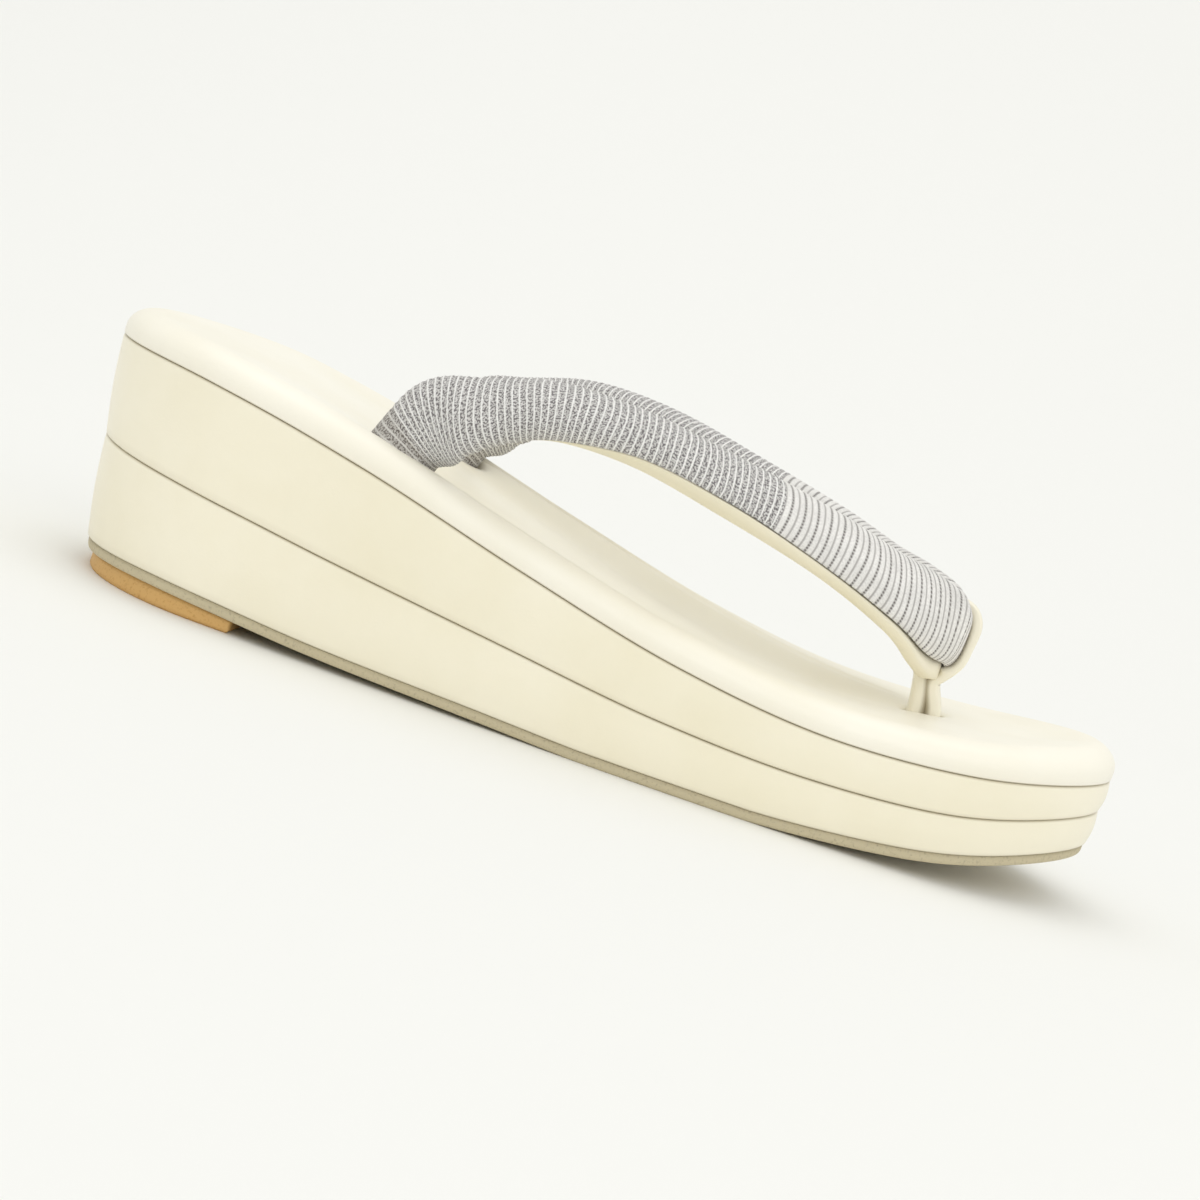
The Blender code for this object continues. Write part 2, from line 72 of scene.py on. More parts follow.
def smooth_rows(table, steps):
    """More rows between a table's rows: every column follows the same kind of cubic, by row number."""
    slopes = np.gradient(table, axis=0)
    place = np.linspace(0.0, len(table) - 1.0, (len(table) - 1) * steps + 1)
    first = np.minimum(place.astype(int), len(table) - 2)
    share = (place - first)[:, None]
    rest = 1.0 - share
    ends = table[first] * rest**2 * (1 + 2 * share) + table[first + 1] * share**2 * (1 + 2 * rest)
    return ends + share * rest * (slopes[first] * rest - slopes[first + 1] * share)


def ease(low, high, value):
    """0 below low, 1 above high, and a soft S between: 3t^2 - 2t^3."""
    t = np.clip((value - low) / (high - low), 0.0, 1.0)
    return t * t * (3.0 - 2.0 * t)


# %% The sandal's sizes, in metres: the solid model's, with finer edges and narrower seams
LENGTH, WIDTH, HEEL_HEIGHT = 0.240, 0.0838, 0.0519
OUTSOLE_THICKNESS, LIFT_LENGTH, LIFT_INSET = 0.0024, 0.050, 0.0012
COVER_THICKNESS, COVER_ROLL, COVER_WALL = 0.0068, 0.0062, 0.0018
HEEL_ROUND, HEEL_POWER = 0.0415, 2.05
TOE_ROUND, TOE_POWER = 0.0400, 2.15
HEEL_LEAN, SIDE_LEAN, TOE_LEAN = 0.127, 0.063, 0.030
TOP_EDGE, BOTTOM_EDGE, WALL_BULGE, SEAM_GAP = 0.0008, 0.0004, 0.0004, 0.0001
HOLLOW_DEPTH, HOLLOW_WALL = 0.0042, 0.0165

PLAN = np.array([  # along the length, half width as a share of WIDTH / 2
    (0.00, 0.932), (0.20, 0.979), (0.40, 1.000), (0.60, 0.980), (0.80, 0.881), (1.00, 0.715),
])
SIDE = np.array([  # along, then the heights of wedge, tier seam and outsole as shares of HEEL_HEIGHT
    (0.00, 1.000, 0.571, 0.122), (0.12, 0.971, 0.528, 0.129), (0.28, 0.846, 0.438, 0.083),
    (0.44, 0.666, 0.355, 0.062), (0.60, 0.505, 0.273, 0.041), (0.74, 0.436, 0.250, 0.057),
    (0.87, 0.469, 0.296, 0.129), (1.00, 0.568, 0.432, 0.282),
])
HOLLOW = np.array([  # along, depth as a share of HOLLOW_DEPTH, half width as a share of WIDTH / 2
    (0.00, 0.00, 0.80), (0.10, 0.00, 0.84), (0.24, 0.26, 0.87), (0.36, 0.80, 0.90),
    (0.48, 1.00, 0.91), (0.58, 1.00, 0.83), (0.67, 0.92, 0.68), (0.74, 0.68, 0.54),
    (0.80, 0.26, 0.36), (0.84, 0.00, 0.10), (1.00, 0.00, 0.00),
])


def wedge_top(x):
    return HEEL_HEIGHT * curve(SIDE, 1, x / LENGTH)


def tier_seam(x):
    return HEEL_HEIGHT * curve(SIDE, 2, x / LENGTH)


def outsole_top(x):
    return np.maximum(HEEL_HEIGHT * curve(SIDE, 3, x / LENGTH), OUTSOLE_THICKNESS)


def cover_top(x):
    return wedge_top(x) + COVER_THICKNESS


print("wedge at the heel and toe, mm:", wedge_top(np.array([0.0, LENGTH])) * 1000)

# %% [markdown]
# ## The camera
#
# The photograph was taken from low beside the sandal, with the sandal's heel lifted onto its
# partner. Standing flat on the floor, the sandal shows the same face when the camera keeps its
# place beside it and rolls by the same angle. The place and the three directions below come from
# matching the sole's edges in the picture. The camera then turns a little and zooms, so that the
# one sandal fills the frame.

# %% Camera
PICTURE_PIXELS, SENSOR = 1200.0, 36.0  # width of the picture, and of the sensor in millimetres


def aim_camera(place, right, up, focal, target, zoom):
    """Turn a camera at place towards one point of its own picture, given in pixels, and keep its
    roll. Lens length in millimetres = SENSOR * focal / PICTURE_PIXELS * zoom."""
    right, up = Vector(right).normalized(), Vector(up).normalized()
    ahead = up.cross(right).normalized()
    off_x, off_y = target[0] - PICTURE_PIXELS / 2.0, target[1] - PICTURE_PIXELS / 2.0
    ahead = (ahead + right * off_x / focal - up * off_y / focal).normalized()
    right = (right - ahead * right.dot(ahead)).normalized()
    up = right.cross(ahead)
    camera = bpy.data.objects.new("camera", bpy.data.cameras.new("camera"))
    bpy.context.collection.objects.link(camera)
    turn = Matrix((right, up, -ahead)).transposed()
    camera.matrix_world = Matrix.Translation(place) @ turn.to_4x4()
    camera.data.sensor_width = SENSOR
    camera.data.lens = SENSOR * focal / PICTURE_PIXELS * zoom
    camera.data.clip_start, camera.data.clip_end = 0.01, 20.0
    bpy.context.scene.camera = camera
    return camera


camera = aim_camera(
    place=(0.04199, -0.53477, 0.09642),
    right=(0.93002, 0.19955, 0.30862),
    up=(-0.33353, 0.10560, 0.93680),
    focal=1650.4, target=(745.0, 578.0), zoom=1.46,
)
print("lens, mm:", round(camera.data.lens, 1))

# %% [markdown]
# ## Floor and light
#
# A product photograph like this is taken on a white sheet under large soft boxes. The sheet here is
# one surface that runs back and curves up into a wall, so no edge shows behind the sandal. Most of
# the light comes from a pale world all round, as in a light tent. A lamp above and a second one
# beside the camera shape the forms, and a third keeps the wall as pale as the floor.

# %% Colours and nodes
def linear(hex_colour):
    """sRGB hex to linear light: c / 12.92 below 0.04045, otherwise ((c + 0.055) / 1.055) ^ 2.4."""
    channels = np.array([int(hex_colour[i:i + 2], 16) / 255.0 for i in (1, 3, 5)])
    low, high = channels / 12.92, ((channels + 0.055) / 1.055) ** 2.4
    return (*np.where(channels <= 0.04045, low, high).tolist(), 1.0)


def add(tree, kind, settings=None, links=None):
    """Add a node. A setting is a property of the node if it has one of that name, otherwise the value
    of that socket. A link joins an input socket to the output that it is given."""
    node = tree.nodes.new(kind)
    for name, value in (settings or {}).items():
        if isinstance(name, str) and hasattr(node, name):
            setattr(node, name, value)
        else:
            node.inputs[name].default_value = value
    for name, source in (links or {}).items():
        tree.links.new(source, node.inputs[name])
    return node


def new_material(name):
    """An empty material with a Principled shader, ready for nodes."""
    material = bpy.data.materials.new(name)
    material.use_nodes = True
    tree = material.node_tree
    return material, tree, tree.nodes["Principled BSDF"]


# %% A surface from a grid of points
def surface(name, grid, uv=None, shade=None, around=True):
    """Join a grid of points (rows, columns, 3) with quads. around also joins the last column to the
    first. Rows that shrink to a point or a line are welded, which closes the surface. x counts from
    the back of the heel and moves to the middle of the sandal here."""
    rows, columns = grid.shape[:2]
    points = grid.reshape(-1, 3) - np.array([LENGTH / 2.0, 0.0, 0.0])
    index = np.arange(rows * columns).reshape(rows, columns)
    if around:
        index = np.hstack([index, index[:, :1]])
    faces = np.stack([index[:-1, :-1], index[:-1, 1:], index[1:, 1:], index[1:, :-1]], axis=-1)
    mesh = bpy.data.meshes.new(name)
    mesh.from_pydata(points.tolist(), [], faces.reshape(-1, 4).tolist())
    if uv is not None:
        flat = uv.reshape(-1, 2)[faces.reshape(-1)]
        mesh.uv_layers.new(name="cloth").data.foreach_set("uv", flat.ravel())
    if shade is not None:
        layer = mesh.attributes.new("shade", "FLOAT", "POINT")
        layer.data.foreach_set("value", np.ascontiguousarray(shade, dtype=np.float32).ravel())
    weld = bmesh.new()
    weld.from_mesh(mesh)
    bmesh.ops.remove_doubles(weld, verts=weld.verts, dist=1e-6)
    bmesh.ops.recalc_face_normals(weld, faces=weld.faces)
    weld.to_mesh(mesh)
    weld.free()
    mesh.shade_smooth()
    piece = bpy.data.objects.new(name, mesh)
    bpy.context.collection.objects.link(piece)
    print(name, "faces:", len(mesh.polygons))
    return piece


def finish_piece(piece, material, node):
    """Give a piece its material, hang it under the root body, and hide the node of the solid model
    that it stands for.
    """
    piece.data.materials.append(material)
    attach(piece, "root")
    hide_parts(node)


# %% The white sheet
SHEET_FRONT, BEND_START, BEND_RADIUS = -1.6, 0.35, 1.9
WALL_HEIGHT, SHEET_HALF_WIDTH = 3.4, 3.2


def white_sheet():
    """Profile from front to back: flat, then a quarter of a wide circle, then a wall; along X."""
    turn = np.linspace(0.0, math.pi / 2.0, 40)
    bend = np.column_stack([BEND_START + BEND_RADIUS * np.sin(turn),
                            BEND_RADIUS - BEND_RADIUS * np.cos(turn)])
    wall_end = (BEND_START + BEND_RADIUS, WALL_HEIGHT)
    profile = np.vstack([[(SHEET_FRONT, 0.0)], bend, [wall_end]])
    side = np.linspace(-SHEET_HALF_WIDTH, SHEET_HALF_WIDTH, 9) + LENGTH / 2.0
    grid = np.empty((len(profile), len(side), 3))
    grid[:, :, 0] = side
    grid[:, :, 1] = profile[:, :1]
    grid[:, :, 2] = profile[:, 1:]
    return surface("white_sheet", grid, around=False)


sheet = white_sheet()
material, tree, shader = new_material("matt_white_paper")
shader.inputs["Base Color"].default_value = linear("#F1F1EE")
shader.inputs["Roughness"].default_value = 0.9
sheet.data.materials.append(material)


# %% Lamps and world
def lamp(name, place, target, size, power):
    """A square soft box of a given size and power in watts, white, that looks at a point."""
    light = bpy.data.lights.new(name, "AREA")
    light.shape, light.size, light.energy = "SQUARE", size, power
    holder = bpy.data.objects.new(name, light)
    bpy.context.collection.objects.link(holder)
    holder.location = place
    holder.rotation_euler = (Vector(target) - Vector(place)).to_track_quat("-Z", "Y").to_euler()


WORLD_STRENGTH = 0.87
lamp("overhead_softbox", (-0.20, 0.10, 1.5), (0.0, 0.0, 0.0), 1.3, 2.6)
lamp("camera_softbox", (0.55, -1.25, 0.9), (0.02, 0.0, 0.04), 1.0, 3.5)
lamp("wall_softbox", (0.0, 0.2, 2.2), (0.3, 2.2, 0.8), 1.5, 6.5)
world = bpy.data.worlds.new("studio")
bpy.context.scene.world = world
world.use_nodes = True
world.node_tree.nodes["Background"].inputs["Color"].default_value = linear("#FDFDFB")
world.node_tree.nodes["Background"].inputs["Strength"].default_value = WORLD_STRENGTH
bpy.context.scene.view_settings.view_transform = "Standard"
print("lamps, watts:", [round(light.energy, 1) for light in bpy.data.lights], "world:", WORLD_STRENGTH)

# %% [markdown]
# ## Faux leather
#
# Wedge, footbed, lining and thong are covered with cream faux leather: a knitted backing coated
# with polyurethane, embossed with a very fine grain and rolled to a satin finish. What the eye gets
# is a pale even colour, soft highlights without sharp reflections, and hardly any grain. So the
# colour varies only a little, the roughness a little more, and the grain is a shallow bump.

# %% Faux leather material
def faux_leather(name, base, shadow, roughness, coat=0.12, edge="#A89D82"):
    """Cream coat over cloth. Polyurethane: IOR 1.5. Grain cells of 0.45 mm, clouds of 30 mm. Where
    the piece has a shade value, its colour turns to the edge colour: painted shade, as in the groove of
    a seam or the inside of a fold."""
    material, tree, shader = new_material(name)
    place = add(tree, "ShaderNodeTexCoord").outputs["Object"]
    clouds = add(tree, "ShaderNodeTexNoise", {"Scale": 33.0, "Detail": 3.0}, {"Vector": place})
    tone = add(tree, "ShaderNodeMapRange", {1: 0.35, 2: 0.70}, {0: clouds.outputs["Fac"]})
    colour = add(tree, "ShaderNodeMix", {"data_type": "RGBA", 6: linear(base), 7: linear(shadow)},
                 {0: tone.outputs[0]})
    # painted shade: the shade value darkens grooves and folds towards the edge colour
    painted_shade = add(tree, "ShaderNodeAttribute", {"attribute_name": "shade"})
    seam = add(tree, "ShaderNodeMix", {"data_type": "RGBA", 7: linear(edge)},
               {0: painted_shade.outputs["Fac"], 6: colour.outputs[2]})
    tree.links.new(seam.outputs[2], shader.inputs["Base Color"])
    rub = add(tree, "ShaderNodeMapRange", {3: roughness - 0.05, 4: roughness + 0.07},
              {0: clouds.outputs["Fac"]})
    tree.links.new(rub.outputs[0], shader.inputs["Roughness"])
    grain = add(tree, "ShaderNodeTexVoronoi", {"Scale": 2200.0, "feature": "SMOOTH_F1"},
                {"Vector": place})
    swell = add(tree, "ShaderNodeTexNoise", {"Scale": 90.0, "Detail": 2.0}, {"Vector": place})
    height = add(tree, "ShaderNodeMath", {"operation": "MULTIPLY_ADD", 1: 9.0},
                 {0: swell.outputs["Fac"], 2: grain.outputs["Distance"]})
    bump = add(tree, "ShaderNodeBump", {"Strength": 0.12, "Distance": 0.00012},
               {"Height": height.outputs[0]})
    tree.links.new(bump.outputs["Normal"], shader.inputs["Normal"])
    shader.inputs["IOR"].default_value = 1.5
    shader.inputs["Coat Weight"].default_value = coat
    shader.inputs["Coat Roughness"].default_value = 0.25
    return material


wedge_leather = faux_leather("cream_faux_leather_wedge", "#F6F0DB", "#F1EAD1", 0.40)
footbed_leather = faux_leather("cream_faux_leather_footbed", "#F8F4E6", "#F4EFDE", 0.42)
lining_leather = faux_leather("cream_faux_leather_lining", "#F1EAD3", "#EBE4CA", 0.50, coat=0.05)
thong_leather = faux_leather("cream_faux_leather_thong", "#F6F1DE", "#F1EAD5", 0.36)
print("leathers:", [m.name for m in (wedge_leather, footbed_leather, lining_leather, thong_leather)])

# %% [markdown]
# ## The wedge
#
# The wedge is cut from foam in two tiers, each wrapped in faux leather and glued, with a thin
# rubber outsole below. Seen from above, every layer has one outline: long gentle sides and two
# rounded ends. A wall point is that outline moved inwards: by the edge's rounding at the top and
# bottom, and by the lean of the wall with depth. So a grid of (level, inset) pairs gives a tier.

# %% Outline
COLUMNS = 480


def outline(columns):
    """x = LENGTH * (1 - cos t) / 2 and y = half width there, closed at both ends by a superellipse;
    t from 0 to 2 pi runs along -Y to the toe and back along +Y. The normal is the tangent turned."""
    t = np.linspace(0.0, 2.0 * math.pi, columns, endpoint=False)
    x = LENGTH * (1.0 - np.cos(t)) / 2.0
    heel = 1.0 - np.clip(1.0 - x / HEEL_ROUND, 0.0, 1.0) ** HEEL_POWER
    toe = 1.0 - np.clip(1.0 - (LENGTH - x) / TOE_ROUND, 0.0, 1.0) ** TOE_POWER
    half = WIDTH / 2.0 * curve(PLAN, 1, x / LENGTH)
    half = half * heel ** (1.0 / HEEL_POWER) * toe ** (1.0 / TOE_POWER)
    ring = np.column_stack([x, np.where(t <= math.pi, -half, half)])
    along = np.roll(ring, -1, axis=0) - np.roll(ring, 1, axis=0)
    normal = np.column_stack([along[:, 1], -along[:, 0]])
    return ring, normal / np.linalg.norm(normal, axis=1)[:, None]


RING, NORMAL = outline(COLUMNS)
RING_X = RING[:, 0]
print("outline's full width, mm:", round(np.ptp(RING[:, 1]) * 1000, 1))


def wall(level, inset):
    """Points (rows, columns, 3): outline - normal * (inset + lean * depth below the wedge's top)."""
    level, inset = np.broadcast_arrays(level, inset)
    backward = np.clip(-NORMAL[:, 0], 0.0, 1.0) ** 2
    forward = np.clip(NORMAL[:, 0], 0.0, 1.0) ** 2
    lean = HEEL_LEAN * backward + TOE_LEAN * forward + SIDE_LEAN * (1.0 - backward - forward)
    depth = np.maximum(wedge_top(RING_X) - level, 0.0)
    moved = RING - NORMAL * (inset + lean * depth)[..., None]
    return np.concatenate([moved, level[..., None]], axis=-1)


def inward(rim, shares, level_at):
    """Rings that shrink from a rim to a line along the middle, which starts at 12 % of the length and
    ends at 90 %: middle + (rim - middle) * share."""
    middle = np.column_stack([LENGTH * 0.12 + RING_X * 0.78, np.zeros(COLUMNS)])
    flat = middle + (rim[:, :2] - middle) * np.asarray(shares)[:, None, None]
    return np.concatenate([flat, level_at(flat[..., 0], flat[..., 1])[..., None]], axis=-1)


def level_along(levels, x):
    """A height that the outline's points carry, read off at any x."""
    half = COLUMNS // 2 + 1
    return np.interp(x, RING_X[:half], levels[:half])


# %% Tier
# EDGE_SHADE is the strength of the painted shade in the groove of a seam
EDGE_SHADE = 0.5                       # how much a seam's lip takes of the edge colour
LIP_HEIGHT = 0.0006


def tier(name, low, high, node):
    """Flat underside, rounded lower edge, slightly swollen wall, rounded upper edge, flat top. The
    shade value is painted shade for the seam's groove: it rises in the last LIP_HEIGHT before each
    seam, and is full where no light comes."""
    turn = np.linspace(0.0, math.pi / 2.0, 7)
    inset_low = BOTTOM_EDGE * (1.0 - np.sin(turn))
    rise_low = BOTTOM_EDGE * (1.0 - np.cos(turn))
    inset_high = TOP_EDGE * (1.0 - np.sin(turn[::-1]))
    rise_high = TOP_EDGE * (1.0 - np.cos(turn[::-1]))
    share = np.linspace(0.0, 1.0, 14)[1:-1]
    base, cap = low + BOTTOM_EDGE, high - TOP_EDGE
    level = np.concatenate([
        low + rise_low[:, None], base + (cap - base) * share[:, None], high - rise_high[:, None],
    ])
    inset = np.concatenate([inset_low, -WALL_BULGE * np.sin(math.pi * share), inset_high])[:, None]
    rings = wall(level, inset * np.ones(COLUMNS))
    shares = np.linspace(1.0, 0.0, 9)[1:]
    under = inward(rings[0], shares[::-1], lambda x, y: level_along(low, x))
    over = inward(rings[-1], shares, lambda x, y: level_along(high, x))
    grid = np.concatenate([under, rings, over])
    near_edge = np.minimum(level - low, high - level)
    dark = EDGE_SHADE * (1.0 - ease(0.0, LIP_HEIGHT, near_edge))
    shade = np.concatenate([np.ones(under.shape[:2]), dark, np.ones(over.shape[:2])])
    finish_piece(surface(name, grid, shade=shade), wedge_leather, node)


tier("lower_tier_cover", outsole_top(RING_X), tier_seam(RING_X) - SEAM_GAP, "lower_tier")
tier("upper_tier_cover", tier_seam(RING_X), wedge_top(RING_X) - SEAM_GAP, "upper_tier")

# %% [markdown]
# ## Outsole and heel lift
#
# The outsole is a thin moulded rubber sheet, warm grey and quite matt. Under the heel sits a
# small lift of amber crepe rubber, which takes the wear. Both are plain; what tells rubber from
# leather is the lack of shine and a fine sandy tooth.

# %% Rubber material
def rubber(name, base, speck, roughness):
    """Moulded rubber: IOR 1.52, matt, with a sandy tooth of 0.3 mm and faint darker specks."""
    material, tree, shader = new_material(name)
    place = add(tree, "ShaderNodeTexCoord").outputs["Object"]
    sand = add(tree, "ShaderNodeTexNoise", {"Scale": 1600.0, "Detail": 3.0}, {"Vector": place})
    tone = add(tree, "ShaderNodeMapRange", {1: 0.55, 2: 0.75}, {0: sand.outputs["Fac"]})
    colour = add(tree, "ShaderNodeMix", {"data_type": "RGBA", 6: linear(base), 7: linear(speck)},
                 {0: tone.outputs[0]})
    tree.links.new(colour.outputs[2], shader.inputs["Base Color"])
    bump = add(tree, "ShaderNodeBump", {"Strength": 0.35, "Distance": 0.0002},
               {"Height": sand.outputs["Fac"]})
    tree.links.new(bump.outputs["Normal"], shader.inputs["Normal"])
    shader.inputs["Roughness"].default_value = roughness
    shader.inputs["IOR"].default_value = 1.52
    return material


grey_rubber = rubber("grey_moulded_rubber", "#C6BB9C", "#ADA286", 0.75)
amber_rubber = rubber("amber_crepe_rubber", "#D8AE6C", "#C3944F", 0.65)
print("rubbers:", grey_rubber.name, amber_rubber.name)


# %% Outsole
def outsole():
    """The wall's outline at the sheet's two levels, its lower edge rounded by twice the edge radius."""
    high = outsole_top(RING_X)
    low = high - OUTSOLE_THICKNESS
    turn = np.linspace(0.0, math.pi / 2.0, 6)[:, None]
    level = np.concatenate([low + 2 * BOTTOM_EDGE * (1 - np.cos(turn)), (high - SEAM_GAP)[None]])
    inset = np.concatenate([BOTTOM_EDGE * (2 - np.sin(turn)), [[BOTTOM_EDGE]]])
    rings = wall(level, inset * np.ones(COLUMNS))
    shares = np.linspace(1.0, 0.0, 9)[1:]
    under = inward(rings[0], shares[::-1], lambda x, y: level_along(low, x))
    over = inward(rings[-1], shares, lambda x, y: level_along(high - SEAM_GAP, x))
    return surface("outsole_sheet", np.concatenate([under, rings, over]))


finish_piece(outsole(), grey_rubber, "outsole")


# %% Heel lift
LIFT_CHAMFER, LIFT_GAP, LIFT_HALF = 0.0005, 0.0003, 0.03
LIFT_FRONT_POINTS = 24


def heel_lift():
    """The outsole's underside, moved in, as far forward as the lift reaches; straight walls to the
    floor with a small chamfer, as a share of the lift's half width. A row per level, a column per
    outline point, front points on a line."""
    low = outsole_top(RING_X) - OUTSOLE_THICKNESS
    edge = wall(low[None], np.full((1, COLUMNS), 2.0 * BOTTOM_EDGE + LIFT_INSET))[0]
    near = edge[:COLUMNS // 2]
    near = near[near[:, 0] < LIFT_LENGTH]
    front_y = np.interp(LIFT_LENGTH, edge[:COLUMNS // 2, 0], edge[:COLUMNS // 2, 1])
    front_z = outsole_top(np.array([LIFT_LENGTH]))[0] - OUTSOLE_THICKNESS
    across = np.linspace(front_y, -front_y, LIFT_FRONT_POINTS)
    front = np.column_stack([np.full_like(across, LIFT_LENGTH), across, np.full_like(across, front_z)])
    far = near[:0:-1] * np.array([1.0, -1.0, 1.0])
    top = np.vstack([near, front, far])
    top[:, 2] -= LIFT_GAP
    middle = np.array([LIFT_LENGTH / 2.0, 0.0, 0.0])
    flat = top * np.array([1.0, 1.0, 0.0])
    foot = middle + (flat - middle) * (1.0 - LIFT_CHAMFER / LIFT_HALF)
    step = flat + np.array([0.0, 0.0, LIFT_CHAMFER])
    levels = np.linspace(0.0, 1.0, 5)[1:, None, None]
    side = step + (top - step) * levels
    under = middle + (foot - middle) * np.array([0.0, 0.5])[:, None, None]
    crown = top.mean(axis=0)
    over = crown + (top - crown) * np.array([0.5, 0.0])[:, None, None]
    return surface("heel_lift_block", np.concatenate([under, foot[None], step[None], side, over]))


finish_piece(heel_lift(), amber_rubber, "heel_lift")

# %% [markdown]
# ## The footbed
#
# The footbed is a thick foam insole in the same faux leather. Its edge rolls softly over, and the
# foot's place is a shallow hollow that starts behind the straps and ends at the thong. A faint
# pressed line follows the hollow's rim. Around each strap and round the thong's legs the cover is
# pulled down into a slit, so it dips there. Padding could be simulated as cloth, but this pad is
# glued down all over, so its form is worked out directly.

# %% Strap and thong sizes: the solid model's, with a fuller bend at the root and a higher instep
ANCHOR_X, THONG_X, STRAP_SPREAD, STRAP_RISE = 0.0728, 0.1958, 0.0340, 0.0300
STRAP_WIDTH, STRAP_THICKNESS, PINCH_REACH = 0.0210, 0.0112, 0.0180
LINING_THICKNESS, LINING_DROP, FIT_GAP = 0.0010, 0.0030, 0.0003
THONG_WIDTH, THONG_THICKNESS, LEG_THICKNESS = 0.0080, 0.0014, 0.0034
FABRIC_END = 215.0
ROOT_DIRECTION = np.array([0.38, 0.05, 0.92]) / math.sqrt(0.38**2 + 0.05**2 + 0.92**2)
STRAP = np.array([
    # run    spread  rise   axis_x axis_y axis_z  wide  thick  seam  drop  square
    (0.000, 0.920, 0.000, 0.90, 0.00, -0.42, 0.74, 0.86, -58.0, 0.00, 1.00),
    (0.047, 0.960, 0.325, 0.84, 0.26, -0.44, 0.91, 0.98, -58.0, 0.00, 1.00),
    (0.125, 1.000, 0.565, 0.52, 0.72, -0.36, 0.88, 1.01, -58.0, 0.00, 1.00),
    (0.221, 1.000, 0.828, 0.20, 0.95, -0.24, 0.95, 1.02, -50.0, 0.00, 1.00),
    (0.384, 0.888, 0.992, 0.00, 1.00, -0.10, 1.00, 1.03, -20.0, 0.00, 1.00),
    (0.563, 0.700, 1.018, 0.00, 0.97, -0.24, 1.00, 1.04, 2.0, 0.05, 1.00),
    (0.750, 0.535, 0.955, 0.00, 0.89, -0.45, 0.97, 0.99, 8.0, 0.10, 1.00),
    (0.880, 0.391, 0.812, 0.00, 0.79, -0.61, 0.93, 0.94, 14.0, 0.35, 0.94),
    (0.945, 0.282, 0.716, 0.00, 0.50, -0.87, 0.88, 0.86, 20.0, 0.95, 0.84),
    (0.978, 0.210, 0.668, -0.02, 0.15, -0.99, 0.80, 0.85, 24.0, 1.30, 0.76),
    (0.992, 0.152, 0.625, -0.06, 0.00, -1.00, 0.70, 0.84, 24.0, 1.30, 0.72),
    (1.000, 0.000, 0.550, -0.08, 0.00, -1.00, 0.64, 0.81, 22.0, 1.00, 0.72),
])
BAND = np.array([
    # ahead  above  wide  leg
    (-0.18, -2.50, 0.88, 1.00), (-0.20, -1.95, 0.88, 1.00), (-0.37, -1.47, 0.84, 0.85),
    (-0.66, -1.06, 0.62, 0.00), (-0.91, -0.40, 0.46, 0.00), (-0.93, 0.34, 0.42, 0.00),
    (-0.71, 1.08, 0.42, 0.00), (0.00, 1.38, 0.52, 0.00), (0.60, 1.22, 0.76, 0.00),
    (0.89, 0.74, 1.00, 0.00), (0.86, 0.00, 1.00, 0.00), (0.76, -0.62, 1.00, 0.00),
    (0.42, -1.16, 0.96, 0.00), (0.11, -1.47, 0.88, 0.85), (0.42, -1.95, 0.88, 1.00),
    (0.45, -2.50, 0.88, 1.00),
])
SLITS = np.array([  # middle x and y, reach along and across, direction of the pull
    (ANCHOR_X, -STRAP_SPREAD * 0.92, 0.0090, 0.0051, 0.38, -0.05, 0.92),
    (ANCHOR_X, STRAP_SPREAD * 0.92, 0.0090, 0.0051, 0.38, 0.05, 0.92),
    (THONG_X + 0.0010, 0.0, 0.0038, 0.0039, 0.00, 0.00, 1.00),
])


# %% Footbed
PRESSED_LINE = 0.00025                 # depth of the line along the hollow's rim
SLIT_DEPTH, SLIT_RIM = 0.0055, 0.0006  # how far the cover dips in a slit, and round it
# FOLD_SHADE is painted shade in the dip round a slit; PAD_LIP is the height of painted shade at the
# seam
FOLD_SHADE, PAD_LIP = 0.7, 0.0005      # darkness in a fold; height of the shaded lip at the seam


def hollow_depth(x, y):
    """Depth = table's depth * S-curve of the distance inside the hollow's rim, and a shallow pressed
    line 2.6 mm inside that rim."""
    share = np.maximum(curve(HOLLOW, 1, x / LENGTH), 0.0)
    inside = WIDTH / 2.0 * curve(HOLLOW, 2, x / LENGTH) - np.abs(y)
    line = PRESSED_LINE * ease(0.0, 0.5, share) * np.exp(-((inside - 0.0026) / 0.0011) ** 2)
    return HOLLOW_DEPTH * share * ease(0.0, HOLLOW_WALL, inside) + line


